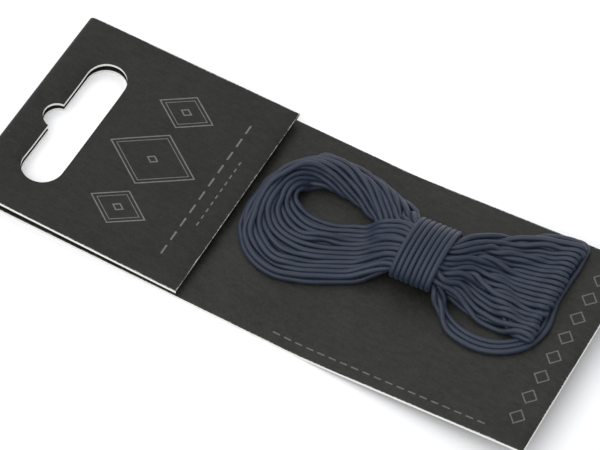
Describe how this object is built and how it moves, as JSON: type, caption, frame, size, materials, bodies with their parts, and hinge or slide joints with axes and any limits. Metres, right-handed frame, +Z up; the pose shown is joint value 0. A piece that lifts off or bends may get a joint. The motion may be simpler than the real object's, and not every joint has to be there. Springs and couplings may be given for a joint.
{
  "type": "card of cotton cord",
  "caption": "Folded header card with a hang slot, carrying a hank of waxed cotton cord tied round its middle with turns of its own.",
  "frame": {"origin": "on the surface the card lies on, under the centre of its outline", "axes": "+X across the card, +Y along it towards the folded hang end, +Z up from the surface"},
  "size_m": [0.048, 0.122, 0.0104],
  "materials": {
    "printed_board": "matt printed board with white cut edges",
    "waxed_cotton": "finely braided and lightly waxed"
  },
  "bodies": {
    "root": {"header_card": "printed_board", "cord_hank": "waxed_cotton", "tie_turns": "waxed_cotton"}
  },
  "joints": []
}
